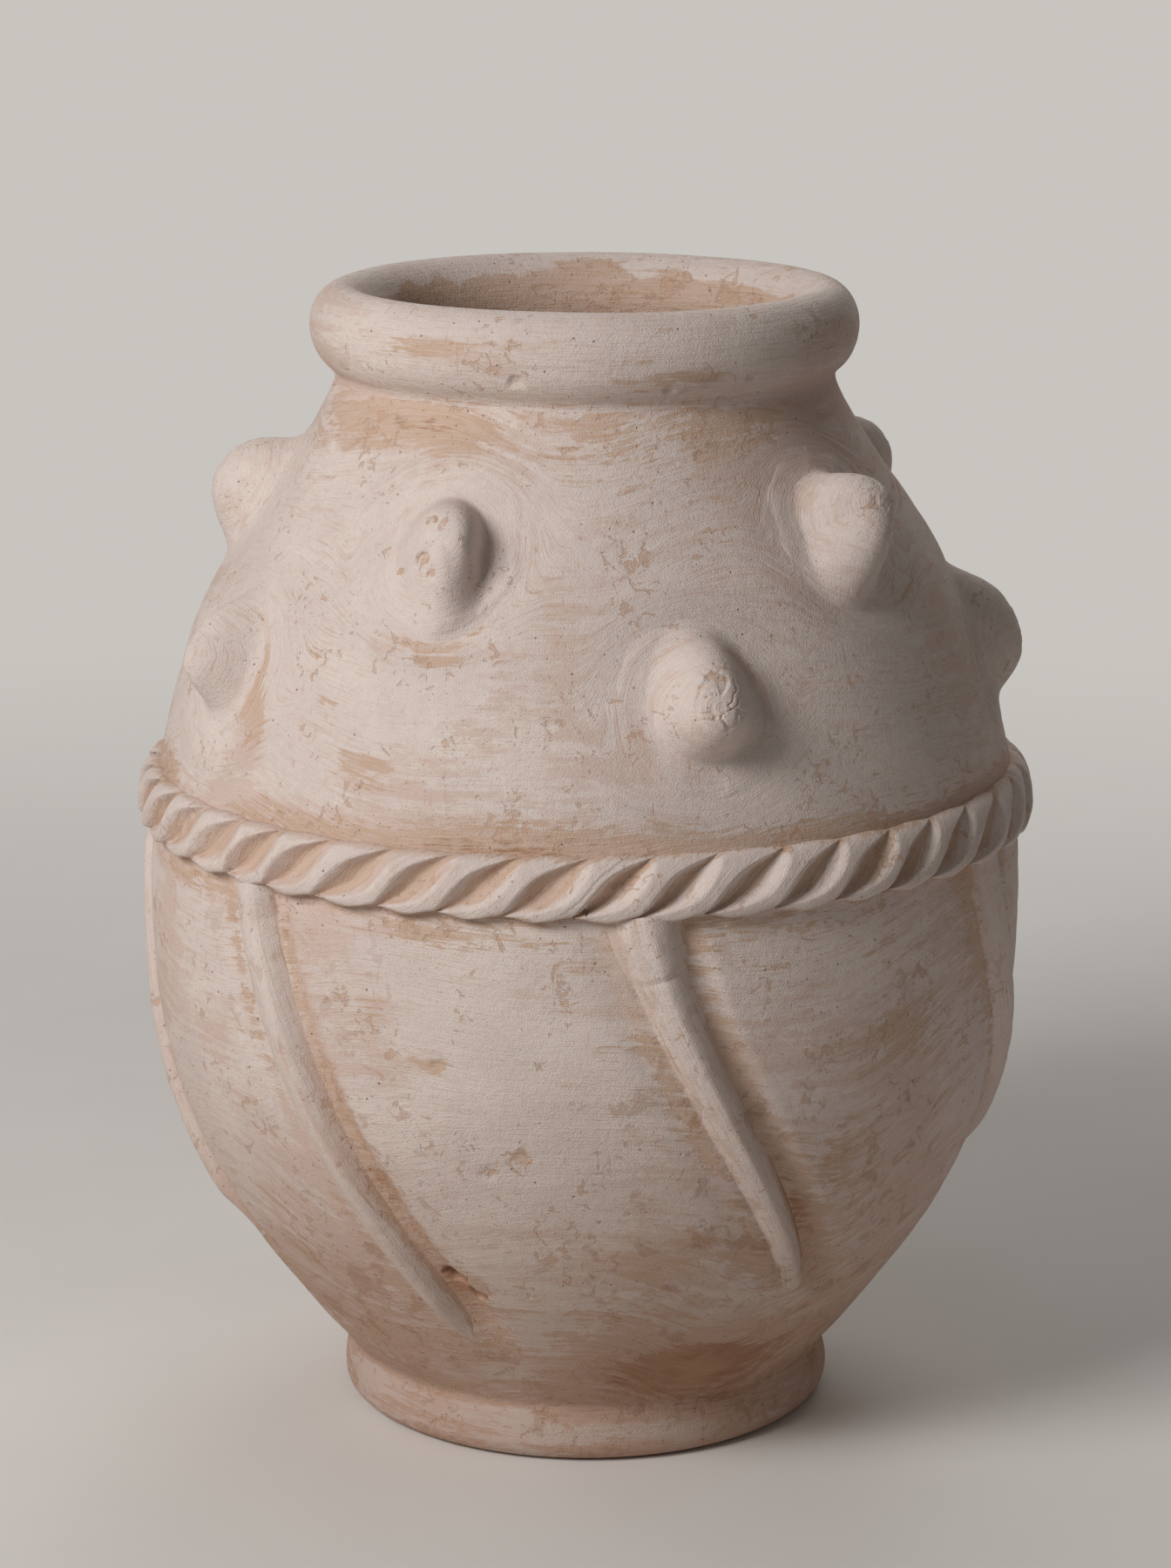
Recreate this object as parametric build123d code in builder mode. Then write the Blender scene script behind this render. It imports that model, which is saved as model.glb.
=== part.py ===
from build123d import *
import os
from math import cos, radians, sin

# Greek pithos: a coil-built terracotta storage jar, in millimetres, standing on the ground at the origin.
# An azimuth is measured round the jar from its front, which faces -Y, towards +X.

# Foot ring and floor slab
waist_radius = 113.0        # where the wall springs from the foot
foot_height = 27.0
foot_toe = 1.0              # how far the foot stands out past the waist
foot_scoop = 1.5            # hollow of the foot's side
foot_edge_round = 9.0
foot_ledge = 13.0           # width of the ledge that carries the slab
floor_thickness = 20.0
floor_inset = 15.0          # from the waist in to the slab's edge

# Wall, raised in four courses with slanted joints
wall_thickness = 14.0
belly_radius = 198.8
belly_height = 236.0
neck_radius = 112.0
neck_height = 477.0
spring_angle = 50.5         # of the wall above level, where it leaves the foot
spring_reach = 80.0         # how far the wall keeps that direction
swell_below = 102.0         # how far the belly stays upright, down and up
swell_above = 152.0
neck_lean = 22.0            # of the wall from upright, where it meets the rim
neck_reach = 65.0
lower_seam_height = 150.0
seam_rise = 8.0             # of a slanted joint from the outside to the inside

# Rim roll
rim_width = 29.0
rim_height = 45.6
rim_overhang = 11.6         # how far the roll stands out past the neck
rim_lean = 8.0              # of the roll's long axis, outwards
rim_bed = 2.6               # how much of the roll is pressed flat on the neck

# Rope moulding
rope_height = 290.0
rope_thickness = 25.0
rope_relief = 10.0          # how far the rope stands out from the wall
rope_lengths = 4
rope_slip = 0.05            # film of slip behind the rope
lays_per_length = 11        # slanting ridges in one length
rope_strands = 3
lay_depth = 0.24            # depth of the grooves between ridges, as a part of the rope's half thickness

# Knobs
upper_row_drop = 54.0       # from the neck down to the upper row
lower_row_rise = 68.0       # from the rope up to the lower row
upper_knob_height = 25.0
lower_knob_height = 22.0
knob_tip_radius = 13.5
knob_tip_rise = 9.0         # height of the domed tip
knob_core_radius = 20.5     # of the cone, inside its hollow skirt
knob_root_radius = 33.0
knob_root_sink = 5.0        # how far the root's edge dips to follow the round wall
upper_knob_azimuths = (-23.0, 49.5, 123.0, 196.0, 269.0)
lower_knob_azimuths = (16.0, 86.5, 159.0, 231.5, 303.7)

# Ribs
rib_joint = 0.3             # of slip between a rib's head and the rope
rib_head_width = 23.0
rib_tail_width = 14.0
rib_relief = 6.5
rib_drift = 24.0            # degrees that a rib moves round the jar on its way down
rib_bend = 1.2              # above 1, a rib starts upright and leans more further down
rib_tip = 0.3               # part of the section that is left where the tail runs out
rib_azimuths = (7.3, 61.5, 112.0, 162.0, 212.5, 263.0, 313.5)
rib_tail_heights = (97.0, 120.0, 92.0, 104.0, 88.0, 98.0, 76.0)

# Sizes that follow from the ones above
floor_radius = waist_radius - floor_inset
foot_radius = waist_radius + foot_toe
floor_underside = foot_height - floor_thickness
upper_row_height = neck_height - upper_row_drop
lower_row_height = rope_height + lower_row_rise
shoulder_seam_height = (lower_row_height + upper_row_height) / 2
rope_half = rope_thickness / 2
rib_head_height = rope_height - rope_half - rib_joint


def save(piece, name):
    """Label a finished piece and write it to its own file."""
    piece.part.label = name
    export_step(piece.part, f"parts/{name}.step")


def round_the_jar(outline, azimuth):
    """Place a (radius, height) vector of the jar's outline at an azimuth."""
    turn = radians(azimuth)
    return Vector(outline.X * sin(turn), -outline.X * cos(turn), outline.Y)


def round_way(azimuth):
    """Level direction round the jar at an azimuth, to the right as seen from outside."""
    turn = radians(azimuth)
    return Vector(cos(turn), sin(turn), 0)


def wall_point(height):
    """Point of the outer wall's outline at a height, with the direction that points out of the wall."""
    curve = lower_curve if height < belly_height else upper_curve
    point = curve.intersect(Plane.XZ.offset(-height))[0].center()
    along = curve.tangent_at(point)
    return point, Vector(along.Y, -along.X)


def wall_plane(height, azimuth):
    """Plane on the outer wall, with X round the jar, Y up the wall and Z straight out."""
    point, outward = wall_point(height)
    origin = round_the_jar(point, azimuth)
    return Plane(origin, x_dir=round_way(azimuth), z_dir=round_the_jar(outward, azimuth))


def inner_wall_points(shares):
    """Points one wall thickness inside the outer wall's outline, at shares of each of its two spans."""
    points = []
    for curve in (lower_curve, upper_curve):
        for share in shares:
            along = curve % share
            inward = Vector(-along.Y, along.X)
            points.append(curve @ share + inward * wall_thickness)
    return points


def joint_line(height, rise):
    """Two (radius, height) points of a joint that crosses the wall and runs well past both of its faces."""
    radius = wall_point(height)[0].X
    overrun = 3 * wall_thickness
    slope = rise / wall_thickness
    outer = (radius + overrun, height - slope * overrun)
    inner = (radius - wall_thickness - overrun, height + slope * (wall_thickness + overrun))
    return outer, inner


def knob_profile(height):
    """Half outline of a knob, as (distance from its axis, height above the wall), from root to tip."""
    tip_base = height - knob_tip_rise
    root = (knob_root_radius, -knob_root_sink)
    skirt = (knob_core_radius, -knob_root_sink / 2)
    core = (knob_core_radius, tip_base / 3)
    flank = (knob_tip_radius, tip_base)
    Bezier(root, skirt, core, flank)
    rising = (flank[0] - core[0], flank[1] - core[1])
    Spline(flank, (0, height), tangents=(rising, (-1, 0)))
    Polyline((0, height), (0, -2 * knob_root_sink), (knob_root_radius, -2 * knob_root_sink), root)


def rope_plane(azimuth):
    """Plane across the rope at an azimuth, with X straight out of its seat and Y up the seat."""
    up = (rope_seat_top - rope_seat_foot).normalized()
    outward = Vector(up.Y, -up.X)
    middle = (rope_seat_foot + rope_seat_top) / 2 + outward * rope_slip
    origin = round_the_jar(middle, azimuth)
    return Plane(origin, x_dir=round_the_jar(outward, azimuth), z_dir=-round_way(azimuth))


def rope_outline(twist):
    """Front of the rope from foot to top: half an ellipse, drawn in between the turning strands."""
    points = []
    for angle in range(-90, 91, 15):  # degrees from straight out, foot to top
        groove = (1 - cos(rope_strands * radians(angle - twist))) / 2
        swell = 1 - lay_depth * groove
        points.append((rope_relief * swell * cos(radians(angle)), rope_half * swell * sin(radians(angle))))
    return points


def rib_plane(share, azimuth, tail_height):
    """Plane on the outer wall under a rib's middle, at a share of the rib's way down."""
    height = rib_head_height + (tail_height - rib_head_height) * share
    return wall_plane(height, azimuth + rib_drift * share**rib_bend)


def rib_direction(share, azimuth, tail_height):
    """Direction of a rib's middle line: straight down the wall at its head, and along its path below."""
    if share == 0:
        return -rib_plane(0, azimuth, tail_height).y_dir
    nearby = 0.01
    ahead = rib_plane(share + nearby, azimuth, tail_height).origin
    behind = rib_plane(share - nearby, azimuth, tail_height).origin
    return (ahead - behind).normalized()


os.makedirs("parts", exist_ok=True)

# Outline of the outer wall as (radius, height), from the foot to the belly and from there to the neck
with BuildLine() as outer_wall:
    spring = (spring_reach * cos(radians(spring_angle)), spring_reach * sin(radians(spring_angle)))
    lower_curve = Bezier(
        (waist_radius, foot_height),
        (waist_radius + spring[0], foot_height + spring[1]),
        (belly_radius, belly_height - swell_below),
        (belly_radius, belly_height),
    )
    closing = (neck_reach * sin(radians(neck_lean)), neck_reach * cos(radians(neck_lean)))
    upper_curve = Bezier(
        (belly_radius, belly_height),
        (belly_radius, belly_height + swell_above),
        (neck_radius + closing[0], neck_height - closing[1]),
        (neck_radius, neck_height),
    )

# The rope's seat is a straight band, scraped on the wall between these two points
rope_seat_foot = wall_point(rope_height - rope_half)[0]
rope_seat_top = wall_point(rope_height + rope_half)[0]

# The jar as if it were solid clay, which shapes the back of what is stuck on the wall
with BuildPart() as solid_jar:
    with BuildSketch(Plane.XZ):
        with BuildLine():
            add(outer_wall.line)
            Polyline((neck_radius, neck_height), (0, neck_height), (0, foot_height), (waist_radius, foot_height))
        make_face()
    revolve(axis=Axis.Z)

# Section of the whole wall, one wall thickness wide, with the rope's seat scraped flat
with BuildSketch(Plane.XZ) as wall_section:
    with BuildLine():
        add(outer_wall.line)
        mouth = (neck_radius - wall_thickness / cos(radians(neck_lean)), neck_height)
        corner = (waist_radius - wall_thickness / sin(radians(spring_angle)), foot_height)
        Line((neck_radius, neck_height), mouth)
        Spline(corner, *inner_wall_points((0.25, 0.5, 0.75)), mouth)
        Line(corner, (waist_radius, foot_height))
    make_face()
    with BuildLine():
        clear = (belly_radius + wall_thickness, rope_height)
        Polyline(rope_seat_foot, clear, rope_seat_top, close=True)
    make_face(mode=Mode.SUBTRACT)

# Floor slab
with BuildPart() as floor_slab:
    with BuildSketch(Plane.XY.offset(floor_underside)):
        Circle(floor_radius)
    extrude(amount=floor_thickness)
save(floor_slab, "floor_slab")

# Foot ring, with a ledge under the slab's edge
with BuildPart() as foot_ring:
    with BuildSketch(Plane.XZ):
        with BuildLine():
            toe = (foot_radius, foot_edge_round)
            waist = (waist_radius, foot_height)
            scoop = (waist_radius - foot_scoop, (foot_edge_round + foot_height) / 2)
            sole_edge = (foot_radius - foot_edge_round, 0)
            Line((floor_radius - foot_ledge, 0), sole_edge)
            RadiusArc(sole_edge, toe, -foot_edge_round)
            ThreePointArc(toe, scoop, waist)
            Polyline(
                waist,
                (floor_radius, foot_height),
                (floor_radius, floor_underside),
                (floor_radius - foot_ledge, floor_underside),
                (floor_radius - foot_ledge, 0),
            )
        make_face()
    revolve(axis=Axis.Z)
save(foot_ring, "foot_ring")

# Wall courses, each the part of the wall's section between two joints
foot_joint = joint_line(foot_height, 0)
lower_joint = joint_line(lower_seam_height, seam_rise)
rope_joint = joint_line(rope_height, seam_rise)
shoulder_joint = joint_line(shoulder_seam_height, seam_rise)
neck_joint = joint_line(neck_height, 0)
courses = {
    "lower_wall": (foot_joint, lower_joint),
    "belly_wall": (lower_joint, rope_joint),
    "shoulder_wall": (rope_joint, shoulder_joint),
    "neck_wall": (shoulder_joint, neck_joint),
}
for name, (below, above) in courses.items():
    with BuildPart() as course:
        with BuildSketch(Plane.XZ):
            with BuildLine():
                Polyline(*below, *reversed(above), close=True)
            make_face()
            add(wall_section.sketch_local, mode=Mode.INTERSECT)
        revolve(axis=Axis.Z)
    save(course, name)

# Rim roll, bedded on the neck
with BuildPart() as rim_roll:
    with BuildSketch(Plane.XZ):
        rim_centre = (neck_radius + rim_overhang - rim_width / 2, neck_height - rim_bed + rim_height / 2)
        with Locations(rim_centre):
            Ellipse(rim_width / 2, rim_height / 2, rotation=-rim_lean)
        with Locations((rim_centre[0], neck_height)):
            Rectangle(2 * rim_width, rim_height, align=(Align.CENTER, Align.MAX), mode=Mode.SUBTRACT)
    revolve(axis=Axis.Z)
save(rim_roll, "rim_roll")

# Rope moulding: one length is lofted along its lay, and the others are turned copies of it
sections_per_lay = 5
length_angle = 360 / rope_lengths
with BuildPart() as rope_length:
    steps = sections_per_lay * lays_per_length
    for step in range(steps + 1):
        with BuildSketch(rope_plane(length_angle * step / steps)):
            with BuildLine():
                front = rope_outline(360 / rope_strands * step / sections_per_lay)
                Spline(*front)
                Line(front[-1], front[0])
            make_face()
    loft()
for number in range(rope_lengths):
    with BuildPart() as turned_length:
        add(rope_length.part, rotation=(0, 0, length_angle * number))
    save(turned_length, f"rope_length_{number + 1}")

# Knobs, two rows set between each other
knob_rows = {
    "upper_knob": (upper_row_height, upper_knob_height, upper_knob_azimuths),
    "lower_knob": (lower_row_height, lower_knob_height, lower_knob_azimuths),
}
for row, (row_height, knob_height, azimuths) in knob_rows.items():
    for number, azimuth in enumerate(azimuths, start=1):
        seat = wall_plane(row_height, azimuth)
        with BuildPart() as knob:
            with BuildSketch(Plane(seat.origin, x_dir=seat.x_dir, z_dir=-seat.y_dir)):
                with BuildLine():
                    knob_profile(knob_height)
                make_face()
            revolve(axis=Axis(seat.origin, seat.z_dir))
            add(solid_jar.part, mode=Mode.SUBTRACT)
        save(knob, f"{row}_{number}")

# Ribs, strips of clay laid slanting down the belly
rib_steps = 8
for number, (azimuth, tail_height) in enumerate(zip(rib_azimuths, rib_tail_heights), start=1):
    with BuildPart() as rib:
        for step in range(rib_steps + 1):
            share = step / rib_steps
            station = rib_plane(share, azimuth, tail_height)
            across = rib_direction(share, azimuth, tail_height).cross(station.z_dir)
            swell = rib_tip if step == rib_steps else 1
            width = rib_head_width + (rib_tail_width - rib_head_width) * share
            with BuildSketch(Plane(station.origin, x_dir=across, z_dir=station.z_dir.cross(across))):
                Ellipse(swell * width / 2, swell * rib_relief)
        loft()
        add(solid_jar.part, mode=Mode.SUBTRACT)
    save(rib, f"rib_{number}")
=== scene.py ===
import bpy
import numpy as np
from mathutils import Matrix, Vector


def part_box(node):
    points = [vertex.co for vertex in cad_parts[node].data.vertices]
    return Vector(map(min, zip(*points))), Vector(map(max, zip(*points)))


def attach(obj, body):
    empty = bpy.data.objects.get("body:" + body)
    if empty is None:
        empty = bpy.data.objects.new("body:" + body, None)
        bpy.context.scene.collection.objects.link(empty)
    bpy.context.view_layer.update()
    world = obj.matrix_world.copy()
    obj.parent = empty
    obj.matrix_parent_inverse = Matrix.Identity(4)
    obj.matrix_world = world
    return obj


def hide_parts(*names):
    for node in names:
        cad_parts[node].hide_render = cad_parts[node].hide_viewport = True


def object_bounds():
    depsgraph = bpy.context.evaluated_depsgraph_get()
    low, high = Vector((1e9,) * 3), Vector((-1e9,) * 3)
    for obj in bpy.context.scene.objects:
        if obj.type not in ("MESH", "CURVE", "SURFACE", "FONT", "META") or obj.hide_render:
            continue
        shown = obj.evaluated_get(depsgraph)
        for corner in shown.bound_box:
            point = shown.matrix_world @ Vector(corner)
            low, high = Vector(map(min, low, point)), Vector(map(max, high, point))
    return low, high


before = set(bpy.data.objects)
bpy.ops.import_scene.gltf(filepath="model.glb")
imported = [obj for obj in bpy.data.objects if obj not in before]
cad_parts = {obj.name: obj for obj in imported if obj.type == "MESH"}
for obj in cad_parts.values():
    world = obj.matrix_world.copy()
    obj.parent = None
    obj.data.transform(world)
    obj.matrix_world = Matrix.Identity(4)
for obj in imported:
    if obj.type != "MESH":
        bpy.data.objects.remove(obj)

cad_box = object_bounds()

# Floor slab
# A disc of coarse clay, beaten out on a board before the rest of the jar is built. It is bare fired clay;
# the foot coil is luted round its edge, and it shows only through the mouth and from below.
slab_low, slab_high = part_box("floor_slab")
slab_edge_round = 0.002
slab_rings = 46             # rings of points across each face of the slab, points in each, and the smallest radius
slab_columns = 180
slab_eye = 0.002
slab_dent = 0.0012          # depth and size of the dents that the beater left, and the radii they fade out between
slab_dent_size = 0.03
slab_dent_fade = (0.098, 0.085)
steps_round = 736           # points round the axis in every ring of clay
raw_clay = (156, 109, 77)
warm_clay = (188, 143, 111)
pale_clay = (203, 166, 140)
dark_clay = (104, 70, 50)
# brown of the painted shade that darkens the wash towards the bottom of the jar
low_painted_shade = (146, 110, 88)
dull_shine = 0.2            # specular level of unglazed clay
millimetre = 0.001
seed_shift = 31.7           # cells from one seed's noise to the next one's
mix_primes = np.array([374761393, 668265263, 2246822519, 1274126177], np.uint32)


def clay_noise(spots, size, seed):
    """Smooth noise from -1 to 1: random values at the corners of a lattice of that spacing in metres, which may
    differ for each axis, blended across each cell by an easing curve. A corner's value is its three whole numbers,
    mixed by large primes."""
    cell = np.asarray(spots) / size + seed_shift * seed
    corner = np.floor(cell)
    share = cell - corner
    ease = share**3 * (share * (share * 6 - 15) + 10)
    total = np.zeros(cell.shape[:-1])
    for step in np.ndindex(2, 2, 2):
        x, y, z = np.moveaxis((corner.astype(np.int64) + step).astype(np.uint32), -1, 0)
        mixed = x * mix_primes[0] + y * mix_primes[1] + z * mix_primes[2]
        mixed = (mixed ^ (mixed >> np.uint32(13))) * mix_primes[3]
        mixed = mixed ^ (mixed >> np.uint32(16))
        total += np.prod(np.where(step, ease, 1 - ease), axis=-1) * (mixed / 2.0**31 - 1)
    return total


def ramp(values, low, high):
    """Ease from 0 at low to 1 at high, as a smooth step."""
    share = np.clip((values - low) / (high - low), 0, 1)
    return share * share * (3 - 2 * share)


def lay_skin(name, grid, bare, stroke, normals=None, capped=False):
    """Mesh over a grid of points whose columns close on themselves. Its rows close on themselves too or, if
    capped, are shut by a fan round the middle of the first row and one round the middle of the last.
    bare tells how far the wash is worn off at each point, and stroke measures across the brush strokes."""
    rows, columns = grid.shape[:2]
    index = np.arange(rows * columns).reshape(rows, columns)
    beside = np.roll(index, -1, axis=1)
    quads = np.stack([index, beside, np.roll(beside, -1, axis=0), np.roll(index, -1, axis=0)], axis=-1)
    fans = np.zeros((0, 3), int)
    points = grid.reshape(-1, 3)
    marks = {"bare": np.ravel(bare), "stroke": np.ravel(stroke)}
    if capped:
        quads = quads[:-1]
        first = np.full(columns, index.size)
        fans = np.concatenate([
            np.stack([beside[0], index[0], first], axis=-1),
            np.stack([index[-1], beside[-1], first + 1], axis=-1),
        ])
        points = np.concatenate([points, grid[[0, -1]].mean(axis=1)])
        for mark, values in marks.items():
            marks[mark] = np.append(values, values.reshape(rows, columns)[[0, -1]].mean(axis=1))
    corners = np.concatenate([quads.ravel(), fans.ravel()])
    sizes = np.repeat([4, 3], [quads.size // 4, len(fans)])
    mesh = bpy.data.meshes.new(name)
    mesh.vertices.add(len(points))
    mesh.vertices.foreach_set("co", points.astype(np.float32).ravel())
    mesh.loops.add(len(corners))
    mesh.loops.foreach_set("vertex_index", corners.astype(np.int32))
    mesh.polygons.add(len(sizes))
    mesh.polygons.foreach_set("loop_start", (np.cumsum(sizes) - sizes).astype(np.int32))
    mesh.update(calc_edges=True)
    mesh.shade_smooth()
    for mark, values in marks.items():
        attribute = mesh.attributes.new(mark, "FLOAT", "POINT")
        attribute.data.foreach_set("value", values.astype(np.float32))
    if normals is not None:
        wanted = np.zeros((len(points), 3))
        wanted[:index.size] = normals.reshape(-1, 3)
        mesh.normals_split_custom_set_from_vertices(wanted)
    piece = bpy.data.objects.new(name, mesh)
    bpy.context.scene.collection.objects.link(piece)
    return piece


def fit(piece, node, finish):
    """Give a piece its finish, and let it stand for a node of the frame."""
    piece.data.materials.append(finish)
    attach(piece, "root")
    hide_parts(node)


def shade(red, green, blue):
    """A colour in 0 to 255 steps of a screen, as the linear light that a shader takes."""
    steps = np.array([red, green, blue]) / 255
    return (*(((steps + 0.055) / 1.055) ** 2.4).tolist(), 1.0)


class Wash:
    """A socket in a finish's shader. Sums on it add Math nodes, and node() adds any other node."""

    def __init__(self, tree, socket=None):
        self.tree = tree
        self.socket = socket

    def node(self, kind, settings=None, sockets=None, output=0):
        """Add a node of a kind, set its settings, then fill or link its sockets."""
        made = self.tree.nodes.new(kind)
        for name, value in (settings or {}).items():
            setattr(made, name, value)
        for name, value in (sockets or {}).items():
            if isinstance(value, Wash):
                self.tree.links.new(value.socket, made.inputs[name])
            else:
                made.inputs[name].default_value = value
        return Wash(self.tree, made.outputs[output]) if made.outputs else None

    def reckon(self, operation, first, second):
        """A Math node's operation on two values."""
        return self.node("ShaderNodeMath", {"operation": operation}, {0: first, 1: second})

    def __add__(self, other):
        return self.reckon("ADD", self, other)

    def __radd__(self, other):
        return self.reckon("ADD", other, self)

    def __sub__(self, other):
        return self.reckon("SUBTRACT", self, other)

    def __rsub__(self, other):
        return self.reckon("SUBTRACT", other, self)

    def __mul__(self, other):
        return self.reckon("MULTIPLY", self, other)

    def __rmul__(self, other):
        return self.reckon("MULTIPLY", other, self)

    def within(self, low, high):
        """Ease from 0 at low to 1 at high."""
        limits = {"Value": self, "From Min": low, "From Max": high}
        return self.node("ShaderNodeMapRange", {"interpolation_type": "SMOOTHSTEP"}, limits)

    def tint(self, none, full):
        """Colour between two others: the first where this value is 0, the second where it is 1."""
        sockets = {0: self, 6: none, 7: full}
        return self.node("ShaderNodeMix", {"data_type": "RGBA"}, sockets, output=2)

    def noise(self, scale, detail=3.0, roughness=0.55, twist=0.0):
        """Soft cloudy noise over this vector, its clouds pulled out of shape by a twist."""
        look = {"Scale": scale, "Detail": detail, "Roughness": roughness, "Distortion": twist}
        return self.node("ShaderNodeTexNoise", {}, {"Vector": self, **look})


def start_finish(name):
    """A new finish: its material, and the place of each point on the jar."""
    material = bpy.data.materials.new(name)
    material.use_nodes = True
    material.node_tree.nodes.clear()
    return material, Wash(material.node_tree).node("ShaderNodeTexCoord", output="Object")


def end_finish(spot, colour, roughness, height, alpha=1.0):
    """Close a finish: colour, roughness, a height in millimetres and how much is there go to the shader."""
    bump = spot.node("ShaderNodeBump", {}, {"Strength": 1.0, "Distance": millimetre, "Height": height})
    sockets = {
        "Base Color": colour,
        "Roughness": roughness,
        "Normal": bump,
        "Specular IOR Level": dull_shine,
        "Alpha": alpha,
    }
    shader = spot.node("ShaderNodeBsdfPrincipled", {}, sockets)
    spot.node("ShaderNodeOutputMaterial", {}, {"Surface": shader})


def clay_body(spot):
    """Fired clay under the wash: its colour, from raw to warm in soft clouds with dark grains, and its grain."""
    clouds = spot.noise(34.0, 4.0)
    grain = spot.noise(620.0, 3.0, 0.7)
    colour = clouds.within(0.36, 0.66).tint(shade(*raw_clay), shade(*warm_clay))
    colour = grain.within(0.60, 0.78).tint(colour, shade(*dark_clay))
    return colour, grain


def bare_clay(name):
    """Finish of fired clay without any wash."""
    material, spot = start_finish(name)
    colour, grain = clay_body(spot)
    end_finish(spot, colour, grain * 0.2 + 0.75, grain * 0.35)
    return material


def ring(radius, height, columns=steps_round):
    """Points of level rings about the jar's axis, one row for each radius and height."""
    turn = np.linspace(0, 2 * np.pi, columns, endpoint=False)
    around = np.stack([np.sin(turn), -np.cos(turn)], axis=-1)
    flat = np.asarray(radius)[:, None, None] * around
    level = np.broadcast_to(np.asarray(height)[:, None, None], (*flat.shape[:2], 1))
    return np.concatenate([flat, level], axis=-1)


slab_reach = np.linspace(slab_eye, slab_high.x - slab_edge_round, slab_rings)
slab_radius = np.concatenate([slab_reach, [slab_high.x, slab_high.x], slab_reach[::-1]])
slab_rise = [slab_low.z + slab_edge_round, slab_high.z - slab_edge_round]
slab_height = np.concatenate([np.full(slab_rings, slab_low.z), slab_rise, np.full(slab_rings, slab_high.z)])
slab_grid = ring(slab_radius, slab_height, slab_columns)
slab_dented = ramp(slab_radius, *slab_dent_fade)[:, None]
slab_grid[..., 2] -= slab_dent * (1 + clay_noise(slab_grid, slab_dent_size, 1)) * slab_dented
slab_bare = np.ones(slab_grid.shape[:2])
slab = lay_skin("beaten_floor", slab_grid, slab_bare, slab_grid[..., 2], capped=True)
fit(slab, "floor_slab", bare_clay("bare_fired_clay"))

# Foot ring
# A thick coil of clay luted round the slab and pressed down on the bench, so that its sole is flat and its side
# leans in to a crease under the wall. The wash on it is thin and pink, and flaked along the front.
foot_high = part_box("foot_ring")[1]
waist_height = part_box("lower_wall")[0].z
belly_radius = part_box("belly_wall")[1].x
neck_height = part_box("rim_roll")[0].z
rim_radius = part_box("rim_roll")[1].x
rim_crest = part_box("rim_roll")[1].z
sole_radius = 0.103         # where the sole begins to round up
seat_radius = 0.0982        # of the seat that the slab lies in
ledge_radius = 0.085        # inner edge of the ledge under the slab
toe_height = 0.0095         # of the foot's widest line
sole_handle = 0.0055        # of the foot's curve: along the sole, under and over the toe, and under the crease
toe_handles = (0.0035, 0.0165)
crease_handle = (0.0012, 0.0215)
waist_radius = 0.1108       # of the crease between foot and wall
spring_handle = (0.051, 0.062)  # of the wall's curve, as it leaves the foot
swell_below = 0.102         # how far the belly stays upright, down and up
swell_above = 0.152
belly_height = 0.236
neck_radius = 0.1102
neck_rise = 0.0040          # of the wall's end over the foot of the rim roll
neck_handle = (0.0243, 0.0603)  # of the wall's curve, where it closes in to the neck
rim_half_width = 0.0158
rim_half_height = 0.0206
rim_lean = np.radians(8)    # of the roll's long axis, outwards
rim_inset = (0.0162, 0.0210)  # from the roll's widest and highest lines to the middle of its section
rim_turns = (-64, 205)      # degrees round its section, from the neck outside to the lip inside
lip_edge = (0.0938, 0.4762)  # lower edge of the rim roll inside the mouth
lip_handle = (0.0008, -0.005)  # of the lip's curve, as it leaves the roll, and over its lower edge
lip_rise = 0.004
outline_step = 0.0005
crease_soft = 0.0018        # reach of the softening of every crease, and of the one at the neck
neck_soft = 0.0055
neck_reach = 0.018          # how far along the outline that one goes
foot_start = 0.0005         # first row of the foot's skin, and the spacing of its rows
foot_spacing = 0.001
foot_wear = 0.08            # bare clay all over the foot, more of it at the sole, and more in the crease
sole_wear = 0.08
# the crease's extra bare clay is partly wear and partly painted shade under the wall's overhang
crease_wear_and_shade = 0.09
hidden_wear = 0.5           # on clay that the brush didn't reach
foot_tones = [(226, 210, 201), (221, 205, 197), (217, 192, 178), (208, 174, 153)]


def bend(start, first, second, end, count=200):
    """Cubic curve of points from start to end, pulled towards two handles."""
    share = np.linspace(0, 1, count)[:, None]
    rest = 1 - share
    pulls = 3 * rest**2 * share * first + 3 * rest * share**2 * second
    return rest**3 * start + pulls + share**3 * end


def soften(line, reach):
    """Average a line of evenly spaced points along its length under a bell curve of that reach."""
    width = int(4 * reach / outline_step)
    weights = np.exp(-0.5 * (np.arange(-width, width + 1) * outline_step / reach) ** 2)
    weights /= weights.sum()
    longer = np.pad(line, ((width, width), (0, 0)), mode="reflect", reflect_type="odd")
    return np.stack([np.convolve(axis, weights, mode="valid") for axis in longer.T], axis=-1)


def corners_of(*pairs):
    """Corners of the outline, as (radius, height)."""
    return [np.array(pair, float) for pair in pairs]


def bell(values, half, power=2):
    """Bell curve: 1 where the values are 0, about a third at half, and nearly 0 at twice that. A greater power
    gives it a flatter top."""
    return np.exp(-((values / half) ** power))


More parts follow.
